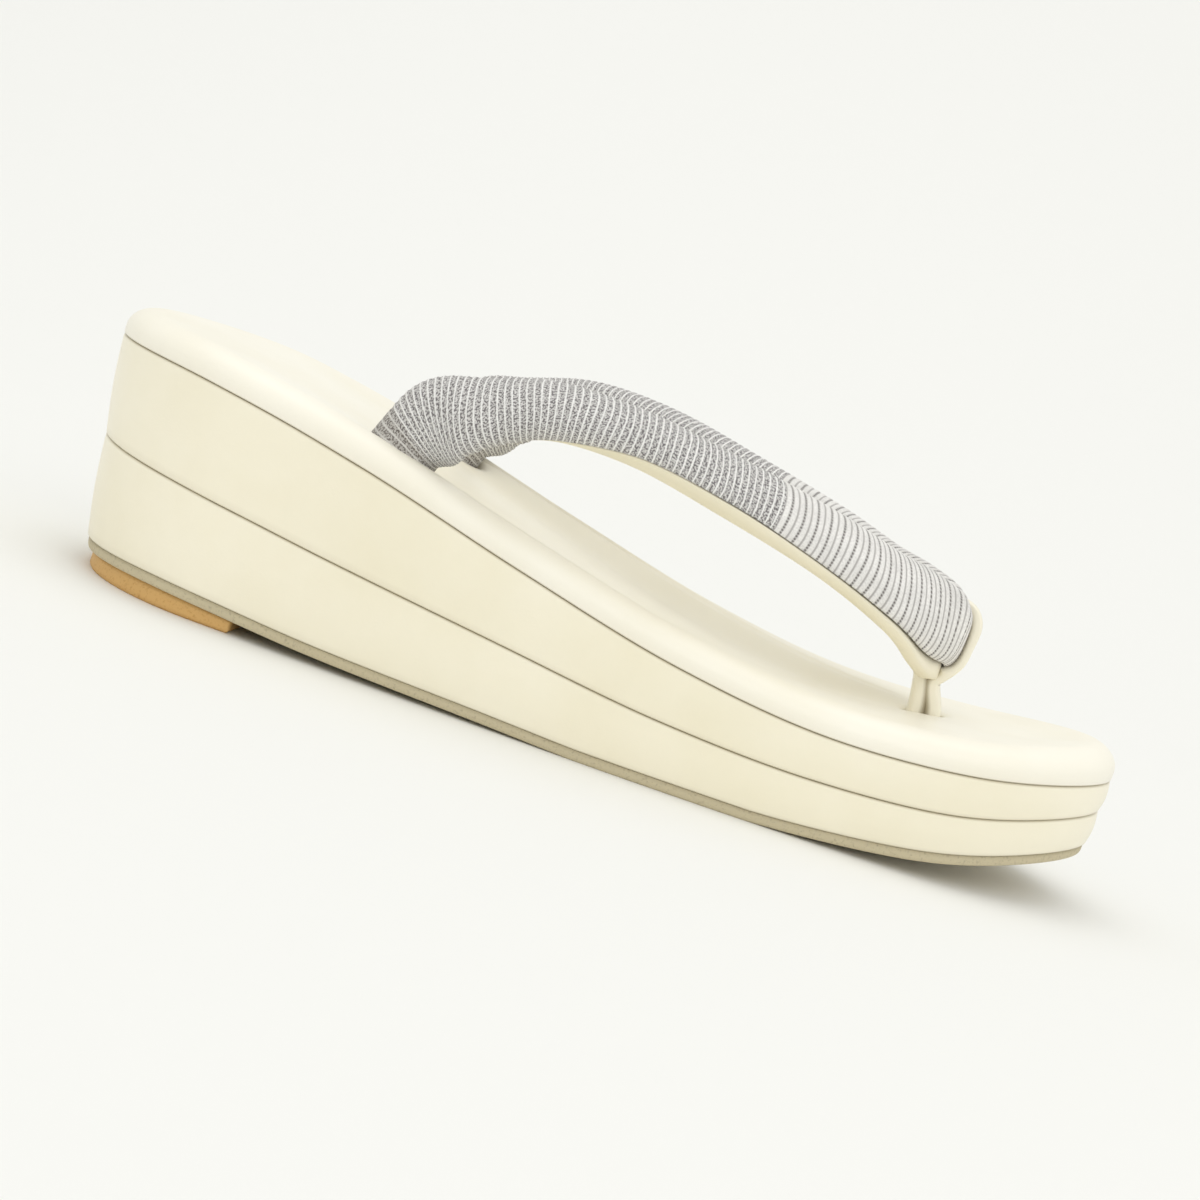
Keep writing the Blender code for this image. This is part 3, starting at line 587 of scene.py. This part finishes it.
def footbed():
    """Flat below, a short wall, a quarter-round roll, then the top with its hollow, which starts at
    the roll's own height; every point near a slit is drawn down along the slit's own direction."""
    turn = np.linspace(0.0, math.pi / 2.0, 6)
    low = wedge_top(RING_X)
    roll = np.linspace(0.0, math.pi / 2.0, 22)
    lower_edge = BOTTOM_EDGE * (1.0 - np.cos(turn))[:, None]
    upper_edge = COVER_WALL + (COVER_THICKNESS - COVER_WALL) * np.sin(roll)[:, None]
    level = np.concatenate([low + lower_edge, low + upper_edge])
    inset = np.concatenate([BOTTOM_EDGE * (1.0 - np.sin(turn)), COVER_ROLL * (1.0 - np.cos(roll))])
    rings = wall(level, inset[:, None] * np.ones(COLUMNS))
    shares = np.linspace(1.0, 0.0, 90)[1:]
    over = inward(rings[-1], shares, lambda x, y: cover_top(x) - hollow_depth(x, y))
    lift = rings[-1, :, 2] - cover_top(rings[-1, :, 0])
    over[..., 2] += lift * (1.0 - ease(0.0, 0.6, 1.0 - shares))[:, None]
    fold = np.zeros(over.shape[:2])
    for middle_x, middle_y, reach_x, reach_y, *direction in SLITS:
        away = np.hypot((over[..., 0] - middle_x) / reach_x, (over[..., 1] - middle_y) / reach_y)
        pull = SLIT_DEPTH * (1.0 - ease(0.78, 1.04, away))
        pull = pull + SLIT_RIM * np.exp(-((away - 1.0) / 0.35) ** 2)
        over = over - np.array(direction) * pull[..., None]
        # painted shade where the cover dips into each slit
        fold = np.maximum(fold, FOLD_SHADE * (1.0 - ease(0.95, 1.12, away)))
    under = inward(rings[0], np.linspace(0.0, 1.0, 9)[:-1], lambda x, y: level_along(low, x))
    # painted shade in the groove at the seam below the pad
    edge = EDGE_SHADE * (1.0 - ease(0.0, PAD_LIP, level - low))
    shade = np.concatenate([np.ones(under.shape[:2]), edge, fold])
    return surface("footbed_pad", np.concatenate([under, rings, over]), shade=shade)


pad = footbed()
finish_piece(pad, footbed_leather, "footbed")

# %% [markdown]
# ## The straps
#
# Each strap is a tube of woven cloth stuffed with cotton, flattened to an oval, and backed with a
# band of faux leather. Both start in slits beside the heel, swing outwards and up over the instep,
# and lean inwards as they come down to the thong, where the loop squeezes them together. That is a
# profile carried along a path: the path, the oval's sizes and its lean all come from one table,
# and the other strap is its mirror image, joined at the middle. The rings are spaced evenly, eight
# to a rib of the cloth, so that each rib can be a real ridge and shows on the strap's outline.

# %% The path of a strap
RIB = 0.00165                          # from rib to rib of the cloth
RING_STEP = RIB / 8.0
EVEN_BEND = (0.022, 0.045)             # from the root, where the evened path fades into the table's
OUTER_TURN = (0.010, 0.035)            # from the root, where the outer face turns to the bend's side


def even_rows(rows):
    """Space the rows of a path evenly: its length is summed up, and every column is read off again
    at equal steps of that length."""
    length = np.concatenate([[0.0], np.cumsum(np.linalg.norm(np.diff(rows[:, :3], axis=0), axis=1))])
    places = np.linspace(0.0, length[-1], 2 * int(length[-1] / RING_STEP / 2.0) + 1)
    return np.stack([np.interp(places, length, column) for column in rows.T], axis=1)


def averaged(rows, reach):
    """Mean of each row with its neighbours up to reach rows away, a hat-shaped weight."""
    weight = np.convolve(np.ones(reach), np.ones(reach)) / reach**2
    padded = np.pad(rows, ((reach - 1, reach - 1), (0, 0)), mode="edge")
    return np.stack([np.convolve(column, weight, mode="valid") for column in padded.T], axis=1)


def strap_frames():
    """Middle line of the strap on +Y, its width axis (squared to the path), its face normal (path x
    width) and the columns wide to square of the table. The stuffed tube cannot turn sharply where
    it leaves its slit, so there the path is averaged with the slit's own line."""
    x = ANCHOR_X + (THONG_X - ANCHOR_X) * STRAP[:, 0]
    height = cover_top(x) + STRAP_RISE * STRAP[:, 2]
    table = np.column_stack([x, STRAP_SPREAD * STRAP[:, 1], height, STRAP[:, 3:]])
    root_wide = STRAP[0, 3:6] - ROOT_DIRECTION * (STRAP[0, 3:6] @ ROOT_DIRECTION)
    root_wide /= np.linalg.norm(root_wide)
    clear = STRAP_WIDTH / 2.0 * STRAP[0, 6] * abs(root_wide[2]) / ROOT_DIRECTION[2]
    table[0, :3] += ROOT_DIRECTION * clear
    rows = even_rows(smooth_rows(table, 60))
    rooted = np.concatenate([rows[:1, :3] - ROOT_DIRECTION * BEFORE_ROOT[:, None], rows[:, :3]])
    even = averaged(rooted, len(BEFORE_ROOT))[len(BEFORE_ROOT):]
    ahead = 1.0 - ease(*EVEN_BEND, np.arange(len(rows)) * RING_STEP)[:, None]
    centre = rows[:, :3] * (1.0 - ahead) + even * ahead
    along = np.gradient(centre, axis=0)
    along /= np.linalg.norm(along, axis=1)[:, None]
    turn = np.clip(centre[:, 1:2] / PINCH_REACH, 0.0, 1.0)
    along = along * turn + np.array([0.0, -1.0, 0.0]) * (1.0 - turn)
    along /= np.linalg.norm(along, axis=1)[:, None]
    wide = rows[:, 3:6] - along * (rows[:, 3:6] * along).sum(axis=1)[:, None]
    wide /= np.linalg.norm(wide, axis=1)[:, None]
    return centre, wide, np.cross(along, wide), rows[:, 6:]


BEFORE_ROOT = np.arange(55, 0, -1) * RING_STEP       # places of the path inside the slit
CENTRE, WIDE, FACE, SIZES = strap_frames()
HALF_WIDTH = STRAP_WIDTH / 2.0 * SIZES[:, :1]
HALF_THICKNESS = STRAP_THICKNESS / 2.0 * SIZES[:, 1:2]
SEAM, DROP, SQUARE = SIZES[:, 2:3], LINING_DROP * SIZES[:, 3:4], SIZES[:, 4:5]


def oval(degrees, inset=0.0, drop=0.0):
    """Points of every ring of the strap at once: half width * cos^square and half thickness *
    sin^square with their signs, moved along that curve's own normal by -inset; drop lets the lower
    edge hang."""
    angle = np.radians(degrees)
    cos, sin = np.cos(angle), np.sin(angle)
    across = HALF_WIDTH * np.sign(cos) * np.abs(cos) ** SQUARE
    out = HALF_THICKNESS * np.sign(sin) * np.abs(sin) ** SQUARE
    normal = np.stack([np.sign(cos) * np.abs(cos) ** (2.0 - SQUARE) / HALF_WIDTH,
                       np.sign(sin) * np.abs(sin) ** (2.0 - SQUARE) / HALF_THICKNESS])
    normal /= np.linalg.norm(normal, axis=0)
    across = across - normal[0] * inset + drop * np.clip(cos, 0.0, 1.0) ** 2
    out = out - normal[1] * inset
    return CENTRE[:, None] + across[..., None] * WIDE[:, None] + out[..., None] * FACE[:, None]


# The ribs are evenly spaced along the strap's outer face, and near the root along the outside of its
# bend. So the distance from the loop is measured on that line: at 75 degrees round the oval in
# front, and turning to 140 degrees at the root.
FROM_ROOT = np.arange(len(CENTRE))[:, None] * RING_STEP
OUTER = oval(75.0 + 65.0 * (1.0 - ease(*OUTER_TURN, FROM_ROOT)))[:, 0]
OUTER_STEPS = np.linalg.norm(np.diff(OUTER, axis=0), axis=1)
FROM_LOOP = np.concatenate([np.cumsum(OUTER_STEPS[::-1])[::-1], [0.0]])[:, None]
print("strap along its outer face, mm:", round(FROM_LOOP[0, 0] * 1000, 1), "rings:", len(CENTRE))


def both_straps(rings):
    """Put the tip on the middle plane, carry the first ring down its slit, mirror the rings. Returns
    the closed grid, and for each of its rows the number of the ring that it came from."""
    rings[-1, :, 1] = 0.0
    first = rings[0]
    foot = first - ROOT_DIRECTION * (2.0 * COVER_THICKNESS)
    for _ in range(3):
        depth = first[:, 2] - wedge_top(foot[:, 0]) - FIT_GAP
        foot = first - ROOT_DIRECTION * (depth / ROOT_DIRECTION[2])[:, None]
    share = np.linspace(0.0, 1.0, 9)[:-1, None, None]
    side = np.concatenate([foot + (first - foot) * share, rings])
    number = np.concatenate([np.arange(-8, 0), np.arange(len(rings))])
    grid = np.concatenate([side, side[-2::-1] * np.array([1.0, -1.0, 1.0])])
    number = np.concatenate([number, number[-2::-1]])
    ends = [grid[i].mean(axis=0) + np.zeros((1, grid.shape[1], 3)) for i in (0, -1)]
    return np.concatenate([ends[0], grid, ends[1]]), np.concatenate([[-8], number, [-8]])


# %% [markdown]
# ## The strap's cloth
#
# The cloth is woven with ribs across the strap, 1.65 mm apart. Behind, the ground is a grey mixture
# of light and dark threads, and each rib is a thin raised white cord. Towards the toes the ribs are
# white and full, with grooves between them; every second groove holds a dark dotted thread and the
# one between is a plain thin grey line. The pattern follows the strap round its bends, so it reads
# the strap's own map: distance from the loop, and distance round the oval.

# %% Woven strap cloth
MAP_LONG, MAP_ROUND = 200.0, 50.0      # millimetres that the map's 0 to 1 stands for
PITCH = RIB * 1000.0
WHITE_ZONE = 38 * PITCH                # millimetres of white ribs, from the loop


def woven_ribs(name):
    """Everything is a function of two distances in millimetres. Dotted line: where the distance to
    every second groove is small, broken by a 0.85 mm beat round the strap. Ground: specks of half a
    millimetre in two greys; the real threads are finer than the picture can show. Dry cotton: rough,
    with a little sheen."""
    material, tree, shader = new_material(name)

    def near(value, period, full, none):
        """1 within full of every multiple of period, 0 beyond none."""
        away = add(tree, "ShaderNodeMath", {"operation": "PINGPONG", 1: period / 2.0}, {0: value})
        return add(tree, "ShaderNodeMapRange", {1: none, 2: full}, {0: away.outputs[0]}).outputs[0]

    def maths(operation, first, second):
        """One sum or product of sockets or numbers."""
        links = {i: v for i, v in enumerate((first, second)) if not isinstance(v, float)}
        numbers = {i: v for i, v in enumerate((first, second)) if isinstance(v, float)}
        return add(tree, "ShaderNodeMath", {"operation": operation, **numbers}, links).outputs[0]

    def blend(share, low, high):
        """A mix of two colours, each a hex value or a socket."""
        pair = {6: low, 7: high}
        fixed = {i: linear(v) for i, v in pair.items() if isinstance(v, str)}
        links = {i: v for i, v in pair.items() if not isinstance(v, str)}
        mix = add(tree, "ShaderNodeMix", {"data_type": "RGBA", **fixed}, {0: share, **links})
        return mix.outputs[2]

    uv = add(tree, "ShaderNodeUVMap", {"uv_map": "cloth"})
    split = add(tree, "ShaderNodeSeparateXYZ", {}, {0: uv.outputs[0]})
    along = maths("MULTIPLY", split.outputs[0], MAP_LONG)
    around = maths("MULTIPLY", split.outputs[1], MAP_ROUND)
    flat = add(tree, "ShaderNodeCombineXYZ", {}, {0: along, 1: around}).outputs[0]
    fibre = add(tree, "ShaderNodeTexNoise", {"Scale": 2.1, "Detail": 1.0, "Roughness": 0.6},
                {"Vector": flat})
    patch = add(tree, "ShaderNodeTexNoise", {"Scale": 0.25, "Detail": 1.0}, {"Vector": flat})

    beat = near(maths("ADD", around, maths("MULTIPLY", fibre.outputs["Fac"], 0.35)), 0.85, 0.10, 0.34)
    dark = near(maths("ADD", along, PITCH), 2.0 * PITCH, 0.12, 0.42)
    broken = add(tree, "ShaderNodeMapRange", {3: 0.45, 4: 1.0}, {0: beat}).outputs[0]
    dotted = maths("MULTIPLY", dark, broken)
    thin = near(along, 2.0 * PITCH, 0.08, 0.34)
    tint = add(tree, "ShaderNodeMapRange", {1: 0.40, 2: 0.66}, {0: fibre.outputs["Fac"]}).outputs[0]
    front = blend(maths("MULTIPLY", tint, 0.6), "#F2F0EC", "#D6D4D1")
    front = blend(maths("MULTIPLY", thin, 0.80), front, "#A09C99")
    front = blend(dotted, front, "#6C6764")

    cord = near(maths("ADD", along, PITCH / 2.0), PITCH, 0.08, 0.29)
    speck = add(tree, "ShaderNodeMapRange", {1: 0.45, 2: 0.57}, {0: fibre.outputs["Fac"]}).outputs[0]
    ground = blend(speck, "#D9D7D4", "#6C6869")
    rear = blend(maths("MULTIPLY", cord, 0.95), ground, "#F5F4F1")

    zone = add(tree, "ShaderNodeMapRange", {1: WHITE_ZONE - 0.2, 2: WHITE_ZONE + 0.2}, {0: along})
    colour = blend(zone.outputs[0], front, rear)
    soil = add(tree, "ShaderNodeMapRange", {1: 0.30, 2: 0.75, 3: 0.0, 4: 0.16},
               {0: patch.outputs["Fac"]})
    colour = blend(soil.outputs[0], colour, "#9B9894")
    # painted shade in the fold against the loop and where the strap goes into its slit
    painted_shade = add(tree, "ShaderNodeAttribute", {"attribute_name": "shade"})
    colour = blend(painted_shade.outputs["Fac"], colour, "#776C58")
    tree.links.new(colour, shader.inputs["Base Color"])

    tooth = near(around, 0.42, 0.02, 0.20)                   # single threads, 0.42 mm apart
    relief = maths("ADD", maths("MULTIPLY", tooth, 0.35), fibre.outputs["Fac"])
    relief = maths("SUBTRACT", relief, maths("MULTIPLY", dotted, 0.9))
    bump = add(tree, "ShaderNodeBump", {"Strength": 0.7, "Distance": 0.00022}, {"Height": relief})
    tree.links.new(bump.outputs["Normal"], shader.inputs["Normal"])
    shader.inputs["Roughness"].default_value = 0.88
    shader.inputs["Sheen Weight"].default_value = 0.12
    return material


strap_cloth = woven_ribs("woven_cotton_ribs")
print("white ribs reach from the loop, mm:", round(WHITE_ZONE, 1))

# %% [markdown]
# ## Ribs and creases as real relief
#
# A bump map alone leaves a strap's outline smooth, and the real one is finely toothed. So each rib is
# a low ridge in the surface itself. Where the stuffed tube bends at its root and where the loop
# squeezes it, the cloth wrinkles: those creases are listed one by one, in millimetres from the loop
# and degrees round the oval.

# %% Where the cloth lies and how it creases
RIB_HEIGHT = 0.00020
CLOTH_RADIUS = 8.2                     # millimetres, the oval's mean radius
CREASES = np.array([
    # from_loop  angle  long   round  depth, in millimetres and degrees
    (139.0, -10.0, 1.5, 30.0, 0.40),
    (134.0, -14.0, 1.3, 28.0, 0.35),
    (128.5, -10.0, 1.5, 24.0, 0.25),
    (106.0, 20.0, 9.0, 10.0, 0.20),
    (76.0, 35.0, 12.0, 9.0, 0.16),
    (41.0, 150.0, 10.0, 14.0, 0.25),
    (7.0, 60.0, 1.3, 50.0, 0.30),
    (3.5, 110.0, 1.0, 60.0, 0.35),
])


def cloth_place(degrees):
    """Where each point lies on the cloth: distance from the loop and round the oval, in millimetres,
    with slow waves of a few tenths, because no weaver's ribs stay quite straight."""
    around = np.radians(degrees) * CLOTH_RADIUS
    along = np.broadcast_to(FROM_LOOP * 1000.0, around.shape)
    wave = 0.22 * np.sin(along / 9.0 + around / 4.0) + 0.13 * np.sin(along / 3.7 - around / 2.9 + 1.0)
    return along + wave * ease(0.0, 6.0, along), around


def relief(along, degrees, half):
    """Rise of the cloth above the oval: rounded ribs, (1 + cos) / 2 with a peak in each rib's middle
    in front and on each cord behind, the creases as bell-shaped valleys, and flat at the seam."""
    phase = 2.0 * math.pi * (along + PITCH / 2.0) / PITCH
    ribs = RIB_HEIGHT * (0.5 + 0.5 * np.cos(phase)) ** 0.7
    for place, angle, long, wide, depth in CREASES:
        bell = ((along - place) / long) ** 2 + ((degrees - angle) / wide) ** 2
        ribs = ribs - depth / 1000.0 * np.exp(-bell)
    return ribs * ease(0.0, 0.06, half) * ease(0.0, 0.06, 1.0 - half)


# %% Straps
# ROOT_SHADE is painted shade where the strap goes into its slit
ROOT_SHADE, SLIT_CLOTH = 0.30, 1.1     # darkness at the root; millimetres of cloth a row in a slit


def padded_straps():
    """Angles from the seam over the top to the fabric's end, then back underneath, set in by the
    lining's thickness. The shade value is painted shade: high in the last 4 mm before the loop, in
    the deep fold against it, and it rises a little at the root, where the strap goes into its slit."""
    over = np.linspace(0.0, 1.0, 49)
    below = np.linspace(0.0, 1.0, 7)
    fabric = SEAM + (FABRIC_END - SEAM) * over
    under = FABRIC_END + (SEAM + 360.0 - FABRIC_END) * below
    along, around = cloth_place(fabric)
    rise = relief(along, fabric, over)
    rings = np.concatenate([oval(fabric, -rise), oval(under, LINING_THICKNESS + FIT_GAP)], axis=1)
    place = np.stack([
        np.concatenate([along, along[:, -1:] + np.zeros_like(under)], axis=1) / MAP_LONG,
        np.concatenate([around, np.radians(under) * CLOTH_RADIUS], axis=1) / MAP_ROUND,
    ], axis=-1)
    grid, number = both_straps(rings)
    uv = place[np.maximum(number, 0)]
    uv[..., 0] += np.maximum(-number, 0)[:, None] * SLIT_CLOTH / MAP_LONG
    side = np.abs(grid[..., 1])
    # painted shade in the deep fold where the strap meets the loop
    fold = FOLD_SHADE * (1.0 - ease(0.0034, 0.0047, side))
    root = ROOT_SHADE * (1.0 - ease(0.0, 0.0020, number * RING_STEP))[:, None]
    return surface("padded_straps", grid, uv=uv, shade=np.maximum(fold, root))


straps = padded_straps()
finish_piece(straps, strap_cloth, "straps")

# %% [markdown]
# ## The lining of the straps
#
# The cloth is closed below by a band of faux leather, which also keeps the strap from stretching. It
# is the oval's own lower part, so it is cut from the same function and never gapes. Towards the loop
# it is gathered and folds lengthwise.

# %% Lining
FOLDS = np.array([
    # angle  start  depth: folds that run from start, in metres from the loop, into the neck
    (-38.0, 0.020, 0.00035),
    (-16.0, 0.014, 0.00030),
    (4.0, 0.010, 0.00025),
])


def strap_lining():
    """The oval's lower part as a band of its own: out along the surface, back one thickness in. Near
    the loop it gathers into folds, which are valleys along the strap that deepen towards the neck."""
    margin = np.degrees(FIT_GAP / HALF_THICKNESS)
    share = np.linspace(0.0, 1.0, 49)
    under = FABRIC_END + margin + (SEAM + 360.0 - FABRIC_END - 2.0 * margin) * share
    sink = np.zeros_like(under)
    for angle, start, depth in FOLDS:
        deep = depth * (1.0 - ease(0.002, start, FROM_LOOP))
        sink = sink + deep * np.exp(-((under - 360.0 - angle) / 7.0) ** 2)
    rings = np.concatenate([oval(under, sink, DROP), oval(under[:, ::-1], LINING_THICKNESS)], axis=1)
    return surface("strap_lining_band", both_straps(rings[::2])[0])


finish_piece(strap_lining(), lining_leather, "strap_lining")

# %% [markdown]
# ## The thong
#
# A strip of faux leather is folded over the point where the straps meet, pinched together below
# them and led down into the sole as two flat legs. It is a rounded strip carried along a path in
# the sandal's middle plane. Over the straps it shows two soft lobes with a fold between them.

# %% Thong
THONG_COLUMNS = 48
LEG_PAD = 0.0008                       # extra thickness of each leg's inner face
# LEG_SHADE is painted shade on the legs' inner faces, where they face each other
LOBE_FOLD, LEG_SHADE = 0.35, 0.9       # depth of the fold between the lobes; darkness between legs


def thong():
    """Ring point = path + normal * thickness part + Y * width part; a superellipse of power 3 keeps
    the strip flat with rounded edges and the outer face dips in its middle. The inner face is padded
    in front, so that the loop lies on the straps, and on the legs, so that they nearly touch; there it
    is shaded, like the inside of a fold."""
    half_strap = STRAP_WIDTH / 2.0 * STRAP[-1, 6]
    floor = wedge_top(np.array([THONG_X]))[0] + FIT_GAP
    meeting = cover_top(np.array([THONG_X]))[0] + STRAP_RISE * STRAP[-1, 2]
    rows = smooth_rows(BAND, 16)
    x = THONG_X + half_strap * rows[:, 0]
    z = meeting + half_strap * rows[:, 1]
    neck = meeting + half_strap * BAND[2, 1]
    z = np.where(z < neck, neck + (z - neck) * (neck - floor) / (neck - z[0]), z)
    along = np.column_stack([np.gradient(x), np.gradient(z)])
    along[0], along[-1] = (0.0, 1.0), (0.0, -1.0)
    along /= np.linalg.norm(along, axis=1)[:, None]
    leg = np.clip(rows[:, 3], 0.0, 1.0)[:, None]
    thick = (THONG_THICKNESS + (LEG_THICKNESS - THONG_THICKNESS) * leg) / 2.0
    wide = THONG_WIDTH / 2.0 * rows[:, 2]
    turn = np.linspace(0.0, 2.0 * math.pi, THONG_COLUMNS, endpoint=False)
    round_x = np.sign(np.cos(turn)) * np.abs(np.cos(turn)) ** (2.0 / 3.0)
    round_y = np.sign(np.sin(turn)) * np.abs(np.sin(turn)) ** (2.0 / 3.0)
    fold = LOBE_FOLD * (1.0 - leg) * np.exp(-(round_y / 0.16) ** 2) * np.clip(round_x, 0.0, 1.0)
    above = rows[:, 1:2]
    front = 0.0011 + 0.0006 * ease(-0.2, 0.8, above) + 0.0016 * (1.0 - ease(-1.3, -0.8, above))
    front = front * ease(0.1, 0.5, rows[:, :1])
    hug = front * (1.0 - leg) + LEG_PAD * leg
    out = thick * (round_x - fold) - hug * np.clip(-round_x, 0.0, 1.0)
    # painted shade on the inner faces of the legs
    between = LEG_SHADE * leg * ease(0.2, 0.7, -round_x)
    grid = np.empty((len(x), THONG_COLUMNS, 3))
    grid[..., 0] = x[:, None] - along[:, 1:2] * out
    grid[..., 1] = wide[:, None] * round_y
    grid[..., 2] = z[:, None] + along[:, 0:1] * out
    ends = [grid[i].mean(axis=0) + np.zeros((1, THONG_COLUMNS, 3)) for i in (0, -1)]
    shade = np.concatenate([between[:1], between, between[-1:]])
    return surface("thong_strip", np.concatenate([ends[0], grid, ends[1]]), shade=shade)


finish_piece(thong(), thong_leather, "thong")
